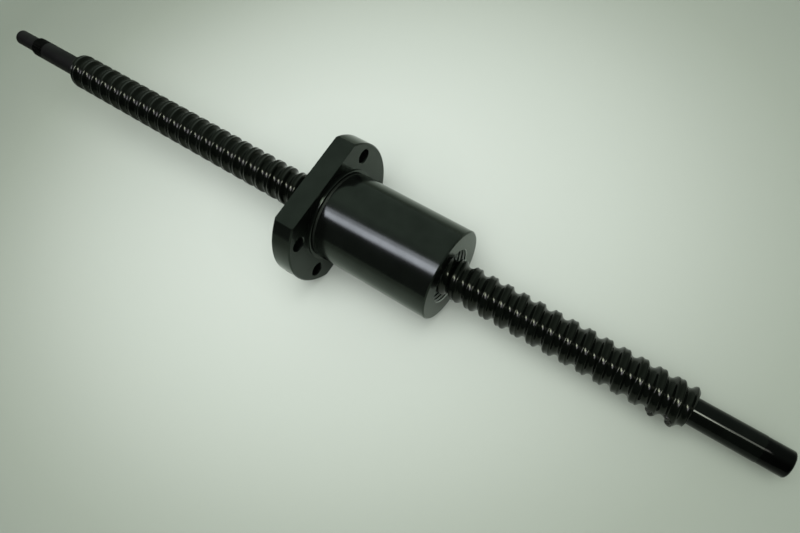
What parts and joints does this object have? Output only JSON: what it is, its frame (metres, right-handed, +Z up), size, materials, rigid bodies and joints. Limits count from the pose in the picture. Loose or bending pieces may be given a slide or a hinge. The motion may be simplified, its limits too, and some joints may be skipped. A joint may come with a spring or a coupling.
{
  "type": "ball screw",
  "caption": "Black ball screw with a flanged round nut. Turning the screw in the nut moves it along, on recirculating balls, for linear drives.",
  "frame": {"origin": "on the screw axis, in the flange face that seats on the housing, with the nut about in the middle of the thread", "axes": "+X along the screw to the long plain journal, +Z up out of the flange's upper flat, -Y towards the lobe with the grease port"},
  "size_m": [0.5962, 0.095, 0.071],
  "materials": {
    "screw_steel": "black oxide, oiled, bright on the ball track",
    "nut_steel": "black oxide over ground steel, oiled",
    "ball_steel": "polished hardened steel",
    "tube_steel": "drawn steel tube",
    "clamp_steel": "bent strip, dark",
    "fastener_steel": "black oxide",
    "wiper_plastic": "moulded black plastic",
    "pin_steel": "ground",
    "spring_steel": "dark spring wire"
  },
  "bodies": {
    "nut": {"nut_body": "nut_steel", "loaded_balls_a": "ball_steel", "loaded_balls_b": "ball_steel", "return_balls_a": "ball_steel", "return_balls_b": "ball_steel", "return_tube_a": "tube_steel", "return_tube_b": "tube_steel", "tube_clamp_a": "clamp_steel", "tube_clamp_b": "clamp_steel", "clamp_screws_a": "fastener_steel", "clamp_screws_b": "fastener_steel", "wiper_left": "wiper_plastic", "wiper_right": "wiper_plastic", "wiper_pin_left": "pin_steel", "wiper_pin_right": "pin_steel"},
    "retaining_rings": {"snap_ring_left": "spring_steel", "snap_ring_right": "spring_steel"},
    "screw": {"screw_shaft": "screw_steel"}
  },
  "joints": [
    {"name": "screw_spin", "type": "hinge", "parent": "nut", "child": "retaining_rings", "pos_m": [0, 0, 0], "axis": [1, 0, 0], "range_deg": [-5040, 7920]},
    {"name": "screw_travel", "type": "slide", "parent": "retaining_rings", "child": "screw", "axis": [1, 0, 0], "range_m": [-0.1401, 0.2201]}
  ],
  "couplings": [
    {"joint": "screw_travel", "follows": "screw_spin", "m_per_rad": 0.0015915}
  ]
}
